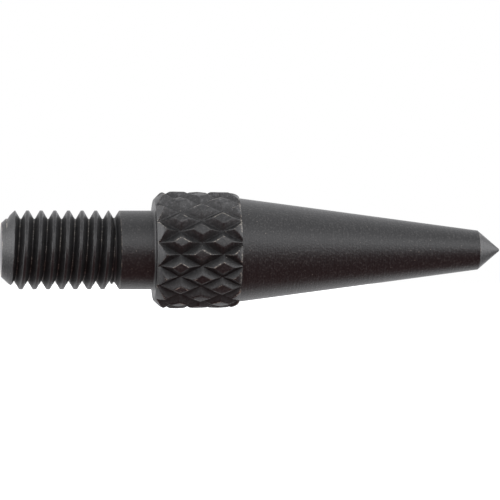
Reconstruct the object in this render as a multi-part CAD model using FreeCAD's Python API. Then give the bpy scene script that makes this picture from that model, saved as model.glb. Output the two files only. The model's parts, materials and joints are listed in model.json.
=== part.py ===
"""Screw-in center point: one steel part, turned from bar, threaded, knurled and blackened.

The axis is X, with +X towards the tip. The origin is the centre of the collar's rear face, which seats
against the holder. Sizes are in millimetres.
"""

import FreeCAD
import Part

import math
import os

# Threaded shank: M6 x 1, cut by a helical groove.
PITCH = 1.0
MAJOR_RADIUS = 2.90
THREAD_ROOT_RADIUS = 2.29
THREAD_HALF_ANGLE = 30.0
ROOT_FLAT = 0.09
SHANK_END_X = -11.20
END_CHAMFER_LENGTH = 1.0
END_FACE_RADIUS = 1.98
LEFT_HAND = True
CREST_PHASE_X = -0.264

# Relief groove where the thread stops, and the plain neck behind the collar.
RELIEF_X = -2.93
RELIEF_ROOT_RADIUS = 2.37
RELIEF_HALF_WIDTH = 0.06
NECK_START_X = -2.54
NECK_RADIUS = 2.90
NECK_FILLET = 0.22

# Knurled collar, which the knurl has swelled most at the rear, where it is deepest.
COLLAR_RADIUS = 4.32
COLLAR_FRONT_RADIUS = 4.26
COLLAR_LENGTH = 6.20
REAR_FACE_RADIUS = 3.74
REAR_ROUND = 0.35
FRONT_BEVEL_START_X = 5.50
FRONT_BEVEL_MIDDLE = (5.95, 4.165)
FRONT_RIM_RADIUS = 4.03

# Diamond knurl: two families of V-grooves, deeper towards the rear. They fade out on the rear bevel and run
# out through the front face. The second family is a little shallower, so that no two roots meet.
KNURL_STARTS = 14
KNURL_LEAD = 43.0
KNURL_HALF_ANGLE = 45.0
KNURL_REAR_ROOT_RADIUS = 3.78
KNURL_FRONT_ROOT_RADIUS = 3.87
KNURL_CROSSING_X = 1.70
KNURL_CROSSING_DEG = 94.9
SECOND_FAMILY_LIFT = 0.015

# How far every groove cutter stands out past the surface that it cuts, and past the collar's ends.
CUTTER_MARGIN = 0.15
CUTTER_RUN_OUT = 0.6

# Nose and tip.
NOSE_REAR_RADIUS = 3.832
NOSE_FRONT_X = 24.09
NOSE_FRONT_RADIUS = 1.453
TIP_X = 25.72
TIP_FLAT_RADIUS = 0.08


def revolve(points):
    """A solid turned about the X axis from an outline of (x, radius) points and arcs' middle points.

    A point is (x, radius). A point marked "arc" as a third item is the middle of an arc from the point
    before it to the point after it.
    """
    edges = []
    index = 0
    while index < len(points) - 1:
        start = FreeCAD.Vector(points[index][0], 0, points[index][1])
        following = points[index + 1]
        if len(following) == 3:
            middle = FreeCAD.Vector(following[0], 0, following[1])
            end = FreeCAD.Vector(points[index + 2][0], 0, points[index + 2][1])
            edges.append(Part.Arc(start, middle, end).toShape())
            index += 2
        else:
            end = FreeCAD.Vector(following[0], 0, following[1])
            edges.append(Part.LineSegment(start, end).toShape())
            index += 1
    first = FreeCAD.Vector(points[0][0], 0, points[0][1])
    last = FreeCAD.Vector(points[-1][0], 0, points[-1][1])
    edges.append(Part.LineSegment(last, first).toShape())
    face = Part.Face(Part.Wire(edges))
    return face.revolve(FreeCAD.Vector(0, 0, 0), FreeCAD.Vector(1, 0, 0), 360)


def helical_cutter(start_x, end_x, lead, root_start, root_end, outer_radius, half_angle, root_flat,
                   left_hand, start_deg):
    """A V-shaped cutter swept along a helix about X.

    Its root runs from root_start to root_end over the length, and it reaches out to outer_radius. The cut
    starts at start_x, at start_deg round the axis from +Z, where degrees grow from +Z towards -Y. The
    section lies in a plane through the axis, so its width is the true width over the sine of the angle
    between the groove and the axis.
    """
    length = end_x - start_x
    taper_deg = math.degrees(math.atan2(root_end - root_start, length))
    helix = Part.makeLongHelix(lead, length, root_start, taper_deg, left_hand)
    height = outer_radius - root_start
    slant = math.sin(math.atan2(2 * math.pi * outer_radius, lead))
    half_top = root_flat / 2 + height * math.tan(math.radians(half_angle)) / slant
    corners = [
        FreeCAD.Vector(root_start, 0, -root_flat / 2),
        FreeCAD.Vector(outer_radius, 0, -half_top),
        FreeCAD.Vector(outer_radius, 0, half_top),
        FreeCAD.Vector(root_start, 0, root_flat / 2),
    ]
    if root_flat == 0:
        corners.pop()
    section = Part.makePolygon(corners + [corners[0]])
    cutter = Part.Wire(helix.Edges).makePipeShell([section], True, True)
    # the helix is made along Z, starting on +X: turn Z to X and +X to +Z
    cutter.rotate(FreeCAD.Vector(0, 0, 0), FreeCAD.Vector(0, 1, 0), 90)
    cutter.rotate(FreeCAD.Vector(0, 0, 0), FreeCAD.Vector(1, 0, 0), 180 + start_deg)
    cutter.translate(FreeCAD.Vector(start_x, 0, 0))
    return cutter


def rounded_corner(corner_x, corner_radius, slope_deg, round_radius):
    """Start, middle and end of the round where a slope that rises at slope_deg meets a level outline."""
    half_turn = math.radians(slope_deg / 2)
    lead_in = round_radius * math.tan(half_turn)
    slope = math.radians(slope_deg)
    start = (corner_x - lead_in * math.cos(slope), corner_radius - lead_in * math.sin(slope))
    middle = (corner_x + lead_in - round_radius * math.sin(half_turn),
              corner_radius - round_radius * (1 - math.cos(half_turn)), "arc")
    end = (corner_x + lead_in, corner_radius)
    return [start, middle, end]


def turned_blank():
    """The whole part before threading and knurling."""
    relief_height = MAJOR_RADIUS - RELIEF_ROOT_RADIUS
    relief_run = relief_height * math.tan(math.radians(THREAD_HALF_ANGLE))
    fillet_middle = NECK_FILLET * (1 - math.cos(math.radians(45)))
    outline = [
        (SHANK_END_X, 0),
        (SHANK_END_X, END_FACE_RADIUS),
        (SHANK_END_X + END_CHAMFER_LENGTH, MAJOR_RADIUS),
        (RELIEF_X - RELIEF_HALF_WIDTH - relief_run, MAJOR_RADIUS),
        (RELIEF_X - RELIEF_HALF_WIDTH, RELIEF_ROOT_RADIUS),
        (RELIEF_X + RELIEF_HALF_WIDTH, RELIEF_ROOT_RADIUS),
        (NECK_START_X, NECK_RADIUS),
        (-NECK_FILLET, NECK_RADIUS),
        (-fillet_middle, NECK_RADIUS + fillet_middle, "arc"),
        (0, NECK_RADIUS + NECK_FILLET),
        (0, REAR_FACE_RADIUS),
    ]
    outline += rounded_corner(COLLAR_RADIUS - REAR_FACE_RADIUS, COLLAR_RADIUS, 45, REAR_ROUND)
    outline += [
        (FRONT_BEVEL_START_X, COLLAR_FRONT_RADIUS),
        (*FRONT_BEVEL_MIDDLE, "arc"),
        (COLLAR_LENGTH, FRONT_RIM_RADIUS),
        (COLLAR_LENGTH, NOSE_REAR_RADIUS),
        (NOSE_FRONT_X, NOSE_FRONT_RADIUS),
        (TIP_X, TIP_FLAT_RADIUS),
        (TIP_X, 0),
    ]
    return revolve(outline)


def cut_thread(blank):
    """Cut the helical thread from the shank's end into the relief groove."""
    turns_back = math.ceil((CREST_PHASE_X - SHANK_END_X) / PITCH) + 1
    start_x = CREST_PHASE_X + PITCH / 2 - turns_back * PITCH
    cutter = helical_cutter(
        start_x, RELIEF_X, PITCH, THREAD_ROOT_RADIUS, THREAD_ROOT_RADIUS, MAJOR_RADIUS + CUTTER_MARGIN,
        THREAD_HALF_ANGLE, ROOT_FLAT, LEFT_HAND, 0,
    )
    return blank.cut(cutter)


def cut_knurl(blank):
    """Cut the two crossing families of knurl grooves into the collar."""
    start_x = -CUTTER_RUN_OUT
    end_x = COLLAR_LENGTH + CUTTER_RUN_OUT
    slope = (KNURL_FRONT_ROOT_RADIUS - KNURL_REAR_ROOT_RADIUS) / COLLAR_LENGTH
    spacing_deg = 360 / KNURL_STARTS
    turn_deg = 360 * (KNURL_CROSSING_X - start_x) / KNURL_LEAD
    for left_hand in (False, True):
        lift = SECOND_FAMILY_LIFT if left_hand else 0
        grooves = []
        for start in range(KNURL_STARTS):
            way = 1 if left_hand else -1
            angle = KNURL_CROSSING_DEG + start * spacing_deg + way * turn_deg
            grooves.append(helical_cutter(
                start_x, end_x, KNURL_LEAD,
                KNURL_REAR_ROOT_RADIUS + lift - slope * CUTTER_RUN_OUT,
                KNURL_FRONT_ROOT_RADIUS + lift + slope * CUTTER_RUN_OUT,
                COLLAR_RADIUS + CUTTER_MARGIN, KNURL_HALF_ANGLE, 0, left_hand, angle,
            ))
        blank = blank.cut(grooves)
    return blank


def make_center_point():
    """The finished part."""
    return cut_knurl(cut_thread(turned_blank())).Solids[0]


os.makedirs("parts", exist_ok=True)
center_point = make_center_point()
center_point.exportStep("parts/center_point.step")
print("valid", center_point.isValid(), "volume", round(center_point.Volume, 2), "mm3")
print("box", center_point.BoundBox)
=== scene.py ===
"""Looks of the screw-in center point: one closed skin in place of the CAD solid, blackened and worn.

The skin is worked out in millimetres and scaled to metres at the end. X is the axis, with the tip at +X.
Angles round the axis are measured from +Z towards -Y, so a quarter turn is the front.
"""

import json
import math

import bpy
import numpy as np
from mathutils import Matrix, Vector


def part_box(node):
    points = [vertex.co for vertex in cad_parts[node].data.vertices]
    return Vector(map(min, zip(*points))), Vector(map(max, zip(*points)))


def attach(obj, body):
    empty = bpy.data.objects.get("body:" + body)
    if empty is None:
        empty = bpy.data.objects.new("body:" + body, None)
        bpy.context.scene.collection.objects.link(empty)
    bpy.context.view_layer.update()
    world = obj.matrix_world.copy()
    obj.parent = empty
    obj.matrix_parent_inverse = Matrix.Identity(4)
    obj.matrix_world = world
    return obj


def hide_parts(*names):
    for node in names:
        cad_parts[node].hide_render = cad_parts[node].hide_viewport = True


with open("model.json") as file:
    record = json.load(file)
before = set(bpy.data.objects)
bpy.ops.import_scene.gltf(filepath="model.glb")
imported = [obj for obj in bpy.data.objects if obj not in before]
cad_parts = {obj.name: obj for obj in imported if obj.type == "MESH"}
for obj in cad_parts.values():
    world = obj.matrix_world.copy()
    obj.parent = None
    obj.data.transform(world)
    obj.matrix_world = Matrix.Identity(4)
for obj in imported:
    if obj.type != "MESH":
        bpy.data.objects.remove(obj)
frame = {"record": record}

CAD_NODE = "center_point"
MM = 0.001
TURN = 2 * math.pi

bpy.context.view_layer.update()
low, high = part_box(CAD_NODE)
mounts = {mount["name"]: mount for mount in frame["record"]["mounts"]}

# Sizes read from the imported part. The others below repeat the part's own, which the frame doesn't hold.
SHANK_END_X = low.x / MM
TIP_X = high.x / MM
NECK_MIDDLE_X = mounts["neck_pilot"]["pos_m"][0] / MM
NECK_LENGTH = mounts["neck_pilot"]["dims"]["length_mm"]
NECK_RADIUS = mounts["neck_pilot"]["dims"]["r_mm"]
NECK_START_X = NECK_MIDDLE_X - NECK_LENGTH / 2
NECK_FILLET = -(NECK_MIDDLE_X + NECK_LENGTH / 2)
NOSE_FRONT_X = TIP_X - mounts["tip"]["dims"]["length_mm"]
NOSE_FRONT_RADIUS = mounts["tip"]["dims"]["r_mm"]

# Thread: M6 x 1, left-hand.
PITCH = 1.0
THREAD_ROOT_RADIUS = 2.29
THREAD_HALF_ANGLE = math.radians(30)
ROOT_FLAT = 0.09
CREST_PHASE_X = -0.264
END_CHAMFER_LENGTH = 1.0
END_FACE_RADIUS = 1.98

# Relief groove between the thread and the neck.
RELIEF_X = -2.93
RELIEF_ROOT_RADIUS = 2.37
RELIEF_HALF_WIDTH = 0.06

# Collar and its diamond knurl.
COLLAR_RADIUS = 4.32
COLLAR_FRONT_RADIUS = 4.26
COLLAR_LENGTH = 6.20
REAR_FACE_RADIUS = 3.74
REAR_BLEND = 0.20
FRONT_BEVEL_START_X = 5.50
FRONT_BEVEL_MIDDLE = (5.95, 4.165)
FRONT_RIM_RADIUS = 4.03
KNURL_STARTS = 14
KNURL_LEAD = 43.0
KNURL_REAR_ROOT_RADIUS = 3.78
KNURL_FRONT_ROOT_RADIUS = 3.87
KNURL_CROSSING_X = 1.70
KNURL_CROSSING = math.radians(94.9)

# Nose and tip.
NOSE_REAR_RADIUS = 3.832
TIP_FLAT_RADIUS = 0.08

# Rounding of worn crests and roots, and how unevenly the knurl was rolled.
THREAD_ROUND = 0.03
KNURL_CREST_ROUND = 0.035
KNURL_ROOT_ROUND = 0.03
KNURL_VALLEY_ROUND = 0.02
KNURL_DEPTH_CHANGE = 0.025

# How finely the skin is divided.
SHANK_COLUMNS = 160
KNURL_CELLS = 30
COLLAR_COLUMNS = KNURL_STARTS * KNURL_CELLS
NOSE_COLUMNS = COLLAR_COLUMNS // 2
THREAD_END_X = RELIEF_X - 0.5
SNAP = 0.004
FILLET_STEPS = 6

# A radius past every surface, for where there is no groove.
NO_GROOVE = 9.0

# Camera: beside the shank's end, looking along the part a little, as a close picture of it does.
CAMERA_PLACE = Vector((-0.022, -0.275, 0))
CAMERA_AIM = Vector((0.00713, 0, 0))
CAMERA_LENS = 270.0


def smooth_min(a, b, width):
    """The smaller of a and b, with the corner between them rounded over width."""
    blend = np.clip(0.5 + 0.5 * (b - a) / width, 0, 1)
    return b * (1 - blend) + a * blend - width * blend * (1 - blend)


def circle_through(p, q, r):
    """Centre and radius of the circle through three points."""
    ax, ay = q[0] - p[0], q[1] - p[1]
    bx, by = r[0] - p[0], r[1] - p[1]
    d = 2 * (ax * by - ay * bx)
    ux = (by * (ax * ax + ay * ay) - ay * (bx * bx + by * by)) / d
    uy = (ax * (bx * bx + by * by) - bx * (ax * ax + ay * ay)) / d
    return p[0] + ux, p[1] + uy, math.hypot(ux, uy)


BEVEL = circle_through((FRONT_BEVEL_START_X, COLLAR_FRONT_RADIUS), FRONT_BEVEL_MIDDLE,
                       (COLLAR_LENGTH, FRONT_RIM_RADIUS))


def near(value, place, width):
    """1 at place, falling to 0 within about width on both sides."""
    return np.exp(-((value - place) / width) ** 2)


def shank_blank(x):
    """Radius of the shank and neck before threading."""
    run = (NECK_RADIUS - RELIEF_ROOT_RADIUS) * math.tan(THREAD_HALF_ANGLE)
    corners_x = [SHANK_END_X, SHANK_END_X + END_CHAMFER_LENGTH, RELIEF_X - RELIEF_HALF_WIDTH - run,
                 RELIEF_X - RELIEF_HALF_WIDTH, RELIEF_X + RELIEF_HALF_WIDTH, NECK_START_X, 0]
    corners_r = [END_FACE_RADIUS, NECK_RADIUS, NECK_RADIUS,
                 RELIEF_ROOT_RADIUS, RELIEF_ROOT_RADIUS, NECK_RADIUS, NECK_RADIUS]
    return np.interp(x, corners_x, corners_r)


def thread_groove(x, angle):
    """Radius of the thread's groove, carried on past the crests."""
    centre = CREST_PHASE_X + PITCH / 2 - PITCH * angle / TURN
    offset = (x - centre) / PITCH
    distance = np.abs(offset - np.round(offset)) * PITCH
    rise = np.maximum(distance - ROOT_FLAT / 2, 0) / math.tan(THREAD_HALF_ANGLE)
    return THREAD_ROOT_RADIUS + rise


def shank_surface(x, angle):
    """Radius, wear with a painted highlight along the thread's root, and depth below the blank of the
    threaded shank and the neck.
    """
    blank = shank_blank(x)
    groove = np.where(x < RELIEF_X, thread_groove(x, angle), NO_GROOVE)
    radius = np.where(x < RELIEF_X, smooth_min(blank, groove, THREAD_ROUND), blank)
    crest_wear = 0.45 * near(groove, blank, 0.03)
    # painted highlight: a thin line of bare metal along the thread's root
    root_highlight = 0.5 * near(groove, THREAD_ROOT_RADIUS, 0.02) * (groove < blank)
    corner_wear = 0.5 * near(x, NECK_START_X, 0.05) + 0.6 * near(x, SHANK_END_X, 0.06)
    wear_and_highlight = crest_wear + root_highlight + corner_wear
    shade_depth = np.where(x < NECK_START_X, np.minimum(NECK_RADIUS, blank + 0.02) - radius, 0)
    relief = np.where(x > RELIEF_X - 0.4, NECK_RADIUS - radius, 0)
    return radius, np.clip(wear_and_highlight, 0, 1), np.maximum(shade_depth, relief)


def collar_blank(x):
    """Radius of the collar before knurling."""
    rear = REAR_FACE_RADIUS + x
    level = np.interp(x, [COLLAR_RADIUS - REAR_FACE_RADIUS, FRONT_BEVEL_START_X],
                      [COLLAR_RADIUS, COLLAR_FRONT_RADIUS])
    body = smooth_min(rear, level, REAR_BLEND)
    centre_x, centre_r, arc = BEVEL
    reach = np.clip(x - centre_x, 0, arc)
    front = centre_r + np.sqrt(arc * arc - reach * reach)
    return np.where(x > FRONT_BEVEL_START_X, np.minimum(front, level), body)


def knurl_grooves(x, angle):
    """Radius of the two families of knurl grooves, each groove cut a little deeper or shallower.

    Also says which points lie on the leading side of their groove, where rolling raised the sharper edge,
    and how nearly a point lies on the ridge that runs along the part from each diamond's flat to the next.
    """
    period = KNURL_LEAD / KNURL_STARTS
    along = (x - KNURL_CROSSING_X) / period
    around = (angle - KNURL_CROSSING) * KNURL_STARTS / TURN
    slant = math.sin(math.atan2(TURN * COLLAR_RADIUS, KNURL_LEAD))
    root = KNURL_REAR_ROOT_RADIUS + (KNURL_FRONT_ROOT_RADIUS - KNURL_REAR_ROOT_RADIUS) * x / COLLAR_LENGTH
    families = []
    sides = []
    for way, depth_phase in ((1, 0.4), (-1, 2.0)):
        offset = around - way * along
        number = np.mod(np.round(offset), KNURL_STARTS)
        past_centre = offset - np.round(offset)
        across = past_centre * period * slant
        height = np.sqrt(across ** 2 + KNURL_VALLEY_ROUND ** 2) - KNURL_VALLEY_ROUND
        families.append(root + height + KNURL_DEPTH_CHANGE * np.sin(2.4 * number + depth_phase))
        sides.append(past_centre)
    leading = np.where(families[0] < families[1], sides[0], sides[1]) > 0
    above_root = np.clip((np.minimum(families[0], families[1]) - root - 0.06) / 0.12, 0, 1)
    ridge = near(families[0], families[1], 0.035) * above_root * (sides[0] * sides[1] < 0)
    return smooth_min(families[0], families[1], KNURL_ROOT_ROUND), leading, ridge


def collar_surface(x, angle):
    """Radius, wear and depth below the blank of the knurled collar."""
    blank = collar_blank(x)
    grooves, leading, ridge = knurl_grooves(x, angle)
    waviness = 0.012 * np.sin(3 * angle + 1.7 * x) + 0.010 * np.sin(5 * angle - 2.3 * x + 1.0)
    grooves = grooves + waviness
    radius = smooth_min(blank, grooves, KNURL_CREST_ROUND)
    # the trailing edges are worn most near the rear corner
    trailing = 0.3 + 0.5 * near(x, 0.5, 0.5)
    edge_wear = near(grooves, blank + 0.01, 0.035) * np.where(leading, 1.0, trailing)
    ridge_wear = 0.6 * ridge * (blank - radius > 0.03)
    rim_wear = 0.6 * near(x, COLLAR_LENGTH - 0.06, 0.08)
    return radius, np.clip(edge_wear + ridge_wear + rim_wear, 0, 1), blank - radius


def nose_surface(x, angle):
    """Radius, wear and depth below the blank, which is none, of the nose and the tip."""
    radius = np.interp(x, [COLLAR_LENGTH, NOSE_FRONT_X, TIP_X],
                       [NOSE_REAR_RADIUS, NOSE_FRONT_RADIUS, TIP_FLAT_RADIUS])
    wear_and_highlight = 0.5 * near(x, NOSE_FRONT_X + 0.03, 0.06) + 0.5 * near(x, TIP_X, 0.12)
    return radius + 0 * angle, np.clip(wear_and_highlight, 0, 1), 0 * radius


class Skin:
    """A closed surface grown ring by ring from the shank's end to the tip."""

    def __init__(self):
        self.points = []
        self.wear_and_highlight = []
        self.shade_depth = []
        self.faces = []

    def add(self, x, radius, angle, wear_and_highlight, shade_depth):
        """Add points and return their numbers."""
        first = len(self.points)
        x, radius, angle, wear_and_highlight, shade_depth = np.broadcast_arrays(x, radius, angle, wear_and_highlight, shade_depth)
        y = -radius * np.sin(angle)
        z = radius * np.cos(angle)
        self.points.extend(np.stack([x, y, z], axis=-1).reshape(-1, 3).tolist())
        self.wear_and_highlight.extend(wear_and_highlight.reshape(-1).tolist())
        self.shade_depth.extend(shade_depth.reshape(-1).tolist())
        return np.arange(first, len(self.points)).reshape(x.shape)

    def ring(self, surface, x, columns):
        """A ring of points on a surface."""
        angle = np.arange(columns) * TURN / columns
        radius, wear_and_highlight, shade_depth = surface(np.full(columns, float(x)), angle)
        return self.add(np.full(columns, float(x)), radius, angle, wear_and_highlight, shade_depth)

    def flat_ring(self, x, radius, columns, wear_and_highlight=0.0, shade_depth=0.0):
        """A plain circle of points."""
        angle = np.arange(columns) * TURN / columns
        return self.add(np.full(columns, float(x)), radius, angle, wear_and_highlight, shade_depth)

    def join(self, rear, front):
        """Quads between two rings with the same number of points."""
        rear_next = np.roll(rear, -1)
        front_next = np.roll(front, -1)
        self.faces.extend(np.stack([rear, rear_next, front_next, front], axis=-1).tolist())

    def join_crossed(self, surface, rear, front, rear_x, front_x):
        """Four triangles in each cell between two rings, so that both diagonals are edges."""
        columns = len(rear)
        angle = (np.arange(columns) + 0.5) * TURN / columns
        middle_x = np.full(columns, (rear_x + front_x) / 2)
        radius, wear_and_highlight, shade_depth = surface(middle_x, angle)
        middle = self.add(middle_x, radius, angle, wear_and_highlight, shade_depth)
        rear_next = np.roll(rear, -1)
        front_next = np.roll(front, -1)
        for a, b in ((rear, rear_next), (rear_next, front_next), (front_next, front), (front, rear)):
            self.faces.extend(np.stack([a, b, middle], axis=-1).tolist())

    def stitch(self, rear, front):
        """Triangles between two rings with different numbers of points."""
        i = j = 0
        while i < len(rear) or j < len(front):
            a = int(rear[i % len(rear)])
            b = int(front[j % len(front)])
            if (i + 1) * len(front) <= (j + 1) * len(rear):
                self.faces.append([a, int(rear[(i + 1) % len(rear)]), b])
                i += 1
            else:
                self.faces.append([a, int(front[(j + 1) % len(front)]), b])
                j += 1

    def cap(self, ring, x, towards_rear):
        """Close a ring with a fan to a point on the axis."""
        centre = int(self.add(np.array([float(x)]), 0.0, 0.0, 0.0, 0.0)[0])
        following = np.roll(ring, -1)
        for a, b in zip(ring.tolist(), following.tolist()):
            self.faces.append([centre, b, a] if towards_rear else [a, b, centre])

    def thread(self, start_x, end_x, columns):
        """The threaded stretch, whose rows follow the helix so that crests and roots stay sharp.

        A point within SNAP of an end, or past it, is taken as that end's. Returns the rings at the two ends.
        """
        flank = (NECK_RADIUS - THREAD_ROOT_RADIUS) * math.tan(THREAD_HALF_ANGLE)
        crest_edge = ROOT_FLAT / 2 + flank
        # how far from the groove's middle the rows run: close together at the root's and the crest's edges
        distances = [ROOT_FLAT / 2 - 0.02, ROOT_FLAT / 2 + 0.02, 0.12, 0.20, 0.28, 0.34,
                     crest_edge - 0.015, crest_edge + 0.015, crest_edge + 0.045]
        offsets = sorted([-d for d in distances] + [0.0] + distances + [PITCH / 2])
        first_turn = math.floor((start_x - CREST_PHASE_X) / PITCH) - 1
        last_turn = math.ceil((end_x - CREST_PHASE_X) / PITCH) + 1
        rows = [CREST_PHASE_X + PITCH / 2 + turn * PITCH + offset
                for turn in range(first_turn, last_turn + 1) for offset in offsets]
        per_turn = len(offsets)
        angle = np.arange(columns) * TURN / columns
        x = np.array(rows)[:, None] - PITCH * angle[None, :] / TURN
        start_ring = self.ring(shank_surface, start_x, columns)
        end_ring = self.ring(shank_surface, end_x, columns)
        inside = (x > start_x + SNAP) & (x < end_x - SNAP)
        grid_angle = np.broadcast_to(angle[None, :], x.shape)
        radius, wear_and_highlight, shade_depth = shank_surface(x[inside], grid_angle[inside])
        number = np.where(x <= start_x + SNAP, start_ring[None, :], end_ring[None, :])
        number[inside] = self.add(x[inside], radius, grid_angle[inside], wear_and_highlight, shade_depth)
        for row in range(len(rows) - 1):
            for column in range(columns):
                if column + 1 < columns:
                    b, c = number[row, column + 1], number[row + 1, column + 1]
                else:
                    b, c = number[max(row - per_turn, 0), 0], number[max(row + 1 - per_turn, 0), 0]
                corners = []
                for corner in (number[row, column], b, c, number[row + 1, column]):
                    if int(corner) not in corners:
                        corners.append(int(corner))
                if len(corners) >= 3:
                    self.faces.append(corners)
        return start_ring, end_ring

    def mesh(self, name):
        """The finished Blender mesh, in metres, with wear, a painted highlight along the thread's root, and
        depth, which sets the painted shade, stored on its points.
        """
        mesh = bpy.data.meshes.new(name)
        scaled = [(x * MM, y * MM, z * MM) for x, y, z in self.points]
        mesh.from_pydata(scaled, [], self.faces)
        for attribute, values in (("wear_and_highlight", self.wear_and_highlight), ("shade_depth", self.shade_depth)):
            mesh.attributes.new(attribute, "FLOAT", "POINT").data.foreach_set("value", values)
        mesh.validate()
        mesh.polygons.foreach_set("use_smooth", [True] * len(mesh.polygons))
        mesh.set_sharp_from_angle(angle=math.radians(38))
        mesh.update()
        return mesh


def spread(start, end, count):
    """Evenly spaced values from start to end, both included."""
    return [start + (end - start) * i / (count - 1) for i in range(count)]


def grow(skin, surface, ring, xs, columns):
    """Join a run of rings on one surface to ring, and return the last."""
    for x in xs:
        following = skin.ring(surface, x, columns)
        skin.join(ring, following)
        ring = following
    return ring


def grow_shank(skin):
    """The end face, the thread and the relief groove. Returns the neck's first ring."""
    start_ring, end_ring = skin.thread(SHANK_END_X, THREAD_END_X, SHANK_COLUMNS)
    inner = skin.flat_ring(SHANK_END_X, END_FACE_RADIUS * 0.93, SHANK_COLUMNS, 0.4)
    skin.join(inner, start_ring)
    deep = skin.flat_ring(SHANK_END_X, END_FACE_RADIUS * 0.75, SHANK_COLUMNS, 0.1)
    skin.join(deep, inner)
    skin.cap(deep, SHANK_END_X, True)
    relief = spread(THREAD_END_X, NECK_START_X, 31)[1:]
    return grow(skin, shank_surface, end_ring, relief, SHANK_COLUMNS)


def grow_collar(skin, ring):
    """The neck, its fillet, the rear face and the knurled collar. Returns the ring at the nose's root."""
    ring = grow(skin, shank_surface, ring, [NECK_START_X + 0.06, NECK_START_X / 2], SHANK_COLUMNS)
    neck = skin.ring(shank_surface, NECK_START_X / 2 + 0.1, COLLAR_COLUMNS)
    skin.stitch(ring, neck)
    ring = grow(skin, shank_surface, neck, [-NECK_FILLET], COLLAR_COLUMNS)
    for step in range(1, FILLET_STEPS + 1):
        turn = math.radians(90) * step / FILLET_STEPS
        following = skin.flat_ring(-NECK_FILLET + NECK_FILLET * math.sin(turn),
                                   NECK_RADIUS + NECK_FILLET * (1 - math.cos(turn)), COLLAR_COLUMNS)
        skin.join(ring, following)
        ring = following
    # painted shade: the depth of 0.2 given to this ring darkens the collar's rear face beside the neck
    following = skin.flat_ring(0, REAR_FACE_RADIUS - 0.03, COLLAR_COLUMNS, 0.0, 0.2)
    skin.join(ring, following)
    # rings are spaced so that the places where grooves cross fall on rings
    spacing = KNURL_LEAD / KNURL_STARTS / KNURL_CELLS
    first = math.ceil(-KNURL_CROSSING_X / spacing + 0.3)
    last = math.floor((COLLAR_LENGTH - KNURL_CROSSING_X) / spacing - 0.3)
    xs = [0.0] + [KNURL_CROSSING_X + i * spacing for i in range(first, last + 1)] + [COLLAR_LENGTH]
    ring = skin.ring(collar_surface, xs[0], COLLAR_COLUMNS)
    skin.join(following, ring)
    for rear_x, front_x in zip(xs, xs[1:]):
        following = skin.ring(collar_surface, front_x, COLLAR_COLUMNS)
        skin.join_crossed(collar_surface, ring, following, rear_x, front_x)
        ring = following
    root = skin.flat_ring(COLLAR_LENGTH, NOSE_REAR_RADIUS, COLLAR_COLUMNS)
    skin.join(ring, root)
    return root


def grow_nose(skin, ring):
    """The tapered nose and the tip."""
    ring = grow(skin, nose_surface, ring, [COLLAR_LENGTH + 0.1], COLLAR_COLUMNS)
    nose = skin.ring(nose_surface, COLLAR_LENGTH + 0.25, NOSE_COLUMNS)
    skin.stitch(ring, nose)
    xs = spread(COLLAR_LENGTH + 0.25, NOSE_FRONT_X - 0.06, 20)[1:]
    xs += [NOSE_FRONT_X - 0.02, NOSE_FRONT_X, NOSE_FRONT_X + 0.02, NOSE_FRONT_X + 0.06]
    xs += spread(NOSE_FRONT_X + 0.06, TIP_X, 14)[1:]
    ring = grow(skin, nose_surface, nose, xs, NOSE_COLUMNS)
    skin.cap(ring, TIP_X, False)


def make_body():
    """The whole part as one closed piece."""
    skin = Skin()
    ring = grow_shank(skin)
    ring = grow_collar(skin, ring)
    grow_nose(skin, ring)
    piece = bpy.data.objects.new("blackened_point", skin.mesh("blackened_point"))
    bpy.context.scene.collection.objects.link(piece)
    return piece


class Nodes:
    """A small helper for building a node tree."""

    def __init__(self, tree):
        self.tree = tree
        tree.nodes.clear()

    def add(self, kind, **settings):
        """A node of some kind, with its settings."""
        node = self.tree.nodes.new(kind)
        for name, value in settings.items():
            setattr(node, name, value)
        return node

    def link(self, source, target):
        """Join an output to an input."""
        self.tree.links.new(source, target)

    def math(self, operation, a, b=None, c=None, clamp=False):
        """A Math node, whose inputs are sockets or numbers."""
        node = self.add("ShaderNodeMath", operation=operation, use_clamp=clamp)
        for index, value in enumerate((a, b, c)):
            if value is None:
                continue
            if isinstance(value, (int, float)):
                node.inputs[index].default_value = value
            else:
                self.link(value, node.inputs[index])
        return node.outputs[0]

    def ramp(self, value, low, high):
        """0 below low, 1 above high, smooth between."""
        node = self.add("ShaderNodeMapRange", interpolation_type="SMOOTHSTEP")
        self.link(value, node.inputs["Value"])
        node.inputs["From Min"].default_value = low
        node.inputs["From Max"].default_value = high
        return node.outputs["Result"]

    def mix(self, factor, a, b):
        """A colour between a and b."""
        node = self.add("ShaderNodeMix", data_type="RGBA")
        self.link(factor, node.inputs[0])
        for index, value in ((6, a), (7, b)):
            if isinstance(value, tuple):
                node.inputs[index].default_value = (*value, 1)
            else:
                self.link(value, node.inputs[index])
        return node.outputs[2]

    def noise(self, vector, scale, detail, roughness):
        """Cloudy noise, as a value."""
        node = self.add("ShaderNodeTexNoise")
        self.link(vector, node.inputs["Vector"])
        node.inputs["Scale"].default_value = scale
        node.inputs["Detail"].default_value = detail
        node.inputs["Roughness"].default_value = roughness
        return node.outputs["Fac"]


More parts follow.
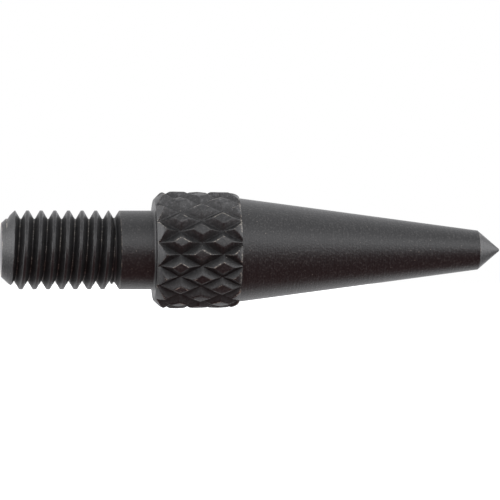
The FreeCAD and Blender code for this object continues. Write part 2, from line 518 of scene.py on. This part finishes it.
def black_oxide():
    """Black oxide over turned steel: satin, with turning marks, fine specks, bare metal on worn edges,
    painted shade in the grooves and a painted highlight along the thread's root.
    """
    material = bpy.data.materials.new("black_oxide_steel")
    material.use_nodes = True
    n = Nodes(material.node_tree)
    where = n.add("ShaderNodeTexCoord").outputs["Object"]
    to_mm = n.add("ShaderNodeVectorMath", operation="SCALE")
    n.link(where, to_mm.inputs[0])
    to_mm.inputs["Scale"].default_value = 1 / MM
    mm = to_mm.outputs[0]

    # turning marks: noise that changes fast along the axis and hardly at all round it
    stretch = n.add("ShaderNodeVectorMath", operation="MULTIPLY")
    n.link(mm, stretch.inputs[0])
    stretch.inputs[1].default_value = (1.0, 0.04, 0.04)
    marks = n.noise(stretch.outputs[0], 7.0, 4.0, 0.65)

    cloud = n.noise(mm, 0.8, 3.0, 0.55)
    grain = n.noise(mm, 7.0, 2.0, 0.6)

    wear_and_highlight = n.add("ShaderNodeAttribute", attribute_name="wear_and_highlight").outputs["Fac"]
    shade_depth = n.add("ShaderNodeAttribute", attribute_name="shade_depth").outputs["Fac"]

    # specks: tiny spots where the finish is pricked through, in one cell out of ten, and more on worn edges
    cells = n.add("ShaderNodeTexVoronoi", feature="F1")
    n.link(mm, cells.inputs["Vector"])
    cells.inputs["Scale"].default_value = 3.4
    spot = n.ramp(n.math("MULTIPLY", cells.outputs["Distance"], -1.0), -0.16, -0.06)
    draw = n.add("ShaderNodeSeparateColor")
    n.link(cells.outputs["Color"], draw.inputs[0])
    chance = n.math("MULTIPLY_ADD", wear_and_highlight, 0.35, draw.outputs[0])
    specks = n.math("MULTIPLY", spot, n.math("GREATER_THAN", chance, 0.90))

    # painted shade: the grooves are painted blacker, less so on the upper side; the lighter blotches on the
    # knurl are also stronger on the upper side
    place = n.add("ShaderNodeSeparateXYZ")
    n.link(mm, place.inputs[0])
    upper_side = n.ramp(place.outputs["Z"], 1.2, 3.2)
    groove_shade = n.math("MULTIPLY", n.ramp(shade_depth, 0.03, 0.30), n.math("MULTIPLY_ADD", upper_side, -0.65, 1.0))
    patchy = n.ramp(n.noise(mm, 1.6, 3.0, 0.6), 0.38, 0.62)
    broken = n.ramp(n.noise(mm, 10.0, 2.0, 0.6), 0.35, 0.62)
    # the bare metal also holds the painted highlight along the thread's root
    scuffed_and_highlight = n.math("MULTIPLY", wear_and_highlight, n.math("MULTIPLY_ADD", patchy, 0.70, 0.30))
    scuffed_and_highlight = n.math("MULTIPLY", scuffed_and_highlight, n.math("MULTIPLY_ADD", broken, 0.65, 0.35))
    worn_and_highlight = n.math("MULTIPLY", n.ramp(scuffed_and_highlight, 0.12, 0.80), 0.70)
    bare_and_highlight = n.math("ADD", worn_and_highlight, n.math("MULTIPLY", specks, 0.35), clamp=True)

    oxide = n.mix(cloud, (0.007, 0.007, 0.008), (0.013, 0.013, 0.014))
    oxide = n.mix(n.ramp(grain, 0.48, 0.74), oxide, (0.044, 0.043, 0.042))
    # painted shade: the grooves are painted darker
    oxide = n.mix(n.math("MULTIPLY", groove_shade, 0.75), oxide, (0.004, 0.004, 0.0045))
    on_collar = n.math("MULTIPLY", n.ramp(place.outputs["X"], 0.0, 0.4),
                       n.ramp(place.outputs["X"], COLLAR_LENGTH + 0.02, COLLAR_LENGTH - 0.02))
    blotches = n.ramp(n.noise(mm, 3.6, 4.0, 0.75), 0.50, 0.68)
    dustiness = n.math("MULTIPLY_ADD", upper_side, 0.35, 0.15)
    dust = n.math("MULTIPLY", n.math("MULTIPLY", blotches, on_collar), dustiness)
    oxide = n.mix(dust, oxide, (0.13, 0.13, 0.135))
    colour = n.mix(bare_and_highlight, oxide, (0.58, 0.53, 0.46))

    rough = n.math("MULTIPLY_ADD", grain, 0.18, 0.19)
    rough = n.math("MULTIPLY_ADD", marks, 0.12, rough)
    rough = n.math("MULTIPLY_ADD", groove_shade, 0.22, rough)

    height = n.math("MULTIPLY_ADD", marks, 0.7, n.math("MULTIPLY", grain, 0.7))
    bump = n.add("ShaderNodeBump")
    bump.inputs["Strength"].default_value = 0.8
    bump.inputs["Distance"].default_value = 0.04 * MM
    n.link(height, bump.inputs["Height"])

    shader = n.add("ShaderNodeBsdfPrincipled")
    shader.inputs["Specular IOR Level"].default_value = 0.68
    n.link(colour, shader.inputs["Base Color"])
    n.link(rough, shader.inputs["Roughness"])
    n.link(bare_and_highlight, shader.inputs["Metallic"])
    n.link(bump.outputs["Normal"], shader.inputs["Normal"])
    n.link(shader.outputs[0], n.add("ShaderNodeOutputMaterial").inputs["Surface"])
    return material


def make_floor():
    """A plain pale floor, well below the part, which is held by its shank and doesn't stand."""
    half_width = 3.0
    level = -0.03
    corners = [(-half_width, -half_width, level), (half_width, -half_width, level),
               (half_width, half_width, level), (-half_width, half_width, level)]
    mesh = bpy.data.meshes.new("floor")
    mesh.from_pydata(corners, [], [(0, 1, 2, 3)])
    floor = bpy.data.objects.new("floor", mesh)
    bpy.context.scene.collection.objects.link(floor)
    material = bpy.data.materials.new("pale_floor")
    material.use_nodes = True
    n = Nodes(material.node_tree)
    shader = n.add("ShaderNodeBsdfPrincipled")
    shader.inputs["Base Color"].default_value = (0.9, 0.9, 0.9, 1)
    shader.inputs["Roughness"].default_value = 0.9
    shader.inputs["Emission Color"].default_value = (1, 1, 1, 1)
    shader.inputs["Emission Strength"].default_value = 0.6
    n.link(shader.outputs[0], n.add("ShaderNodeOutputMaterial").inputs["Surface"])
    mesh.materials.append(material)
    # the surroundings below already stand for its reflected light
    floor.visible_diffuse = False
    floor.visible_glossy = False


def make_surroundings():
    """A white studio: soft boxes in front and at both ends, with darker patches above and below them."""
    world = bpy.data.worlds.new("studio")
    bpy.context.scene.world = world
    world.use_nodes = True
    n = Nodes(world.node_tree)
    direction = n.add("ShaderNodeTexCoord").outputs["Generated"]

    def facing_front(degrees_up):
        """How nearly a direction faces the front, at so many degrees above level."""
        up = math.radians(degrees_up)
        node = n.add("ShaderNodeVectorMath", operation="DOT_PRODUCT")
        n.link(direction, node.inputs[0])
        node.inputs[1].default_value = (0, -math.cos(up), math.sin(up))
        return node.outputs["Value"]

    parts = n.add("ShaderNodeSeparateXYZ")
    n.link(direction, parts.inputs[0])
    sideways = n.math("ABSOLUTE", parts.outputs["X"])
    front_box = n.ramp(facing_front(27), 0.74, 0.98)
    strip_bottom = n.ramp(parts.outputs["Z"], 0.24, 0.40)
    strip_top = n.ramp(parts.outputs["Z"], 0.62, 0.46)
    in_front = n.ramp(parts.outputs["Y"], -0.2, -0.6)
    front_strip = n.math("MULTIPLY", n.math("MULTIPLY", strip_bottom, strip_top), in_front)
    upper_gap = n.ramp(facing_front(68), 0.84, 0.98)
    end_boxes = n.math("MULTIPLY", n.ramp(sideways, 0.72, 0.95), n.ramp(parts.outputs["Z"], -0.40, 0.10))
    end_gaps = n.math("MULTIPLY", n.ramp(sideways, 0.45, 0.80), n.ramp(parts.outputs["Z"], 0.02, -0.40))
    strength = n.math("MULTIPLY_ADD", front_box, 0.36, 0.87)
    rightwards = n.ramp(parts.outputs["X"], -0.05, 0.45)
    strip_strength = n.math("MULTIPLY_ADD", rightwards, 0.75, 0.10)
    strength = n.math("MULTIPLY_ADD", front_strip, strip_strength, strength)
    strength = n.math("MULTIPLY_ADD", upper_gap, -0.28, strength)
    strength = n.math("MULTIPLY_ADD", rightwards, 0.22, strength)
    strength = n.math("MULTIPLY_ADD", end_boxes, 1.7, strength)
    strength = n.math("MULTIPLY_ADD", end_gaps, -0.5, strength)
    strength = n.math("MULTIPLY_ADD", n.ramp(parts.outputs["X"], -0.40, -0.85), 0.35, strength)
    dark = n.ramp(facing_front(-53), 0.42, 0.73)
    colour = n.mix(dark, (1.0, 1.0, 1.02), (0.20, 0.09, 0.085))
    studio = n.add("ShaderNodeBackground")
    n.link(colour, studio.inputs["Color"])
    n.link(strength, studio.inputs["Strength"])

    # seen directly, the surroundings are a plain white backdrop
    backdrop = n.add("ShaderNodeBackground")
    backdrop.inputs["Color"].default_value = (1, 1, 1, 1)
    choose = n.add("ShaderNodeMixShader")
    n.link(n.add("ShaderNodeLightPath").outputs["Is Camera Ray"], choose.inputs[0])
    n.link(studio.outputs[0], choose.inputs[1])
    n.link(backdrop.outputs[0], choose.inputs[2])
    n.link(choose.outputs[0], n.add("ShaderNodeOutputWorld").inputs["Surface"])


def make_camera():
    """A long lens, level with the axis."""
    data = bpy.data.cameras.new("camera")
    data.sensor_width = 36
    data.lens = CAMERA_LENS
    data.clip_start = 0.01
    camera = bpy.data.objects.new("camera", data)
    bpy.context.scene.collection.objects.link(camera)
    camera.location = CAMERA_PLACE
    camera.rotation_euler = (CAMERA_AIM - CAMERA_PLACE).to_track_quat("-Z", "Y").to_euler()
    bpy.context.scene.camera = camera


body = make_body()
body.data.materials.append(black_oxide())
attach(body, "root")
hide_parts(CAD_NODE)

make_floor()
make_surroundings()
make_camera()
bpy.context.scene.view_settings.view_transform = "Standard"
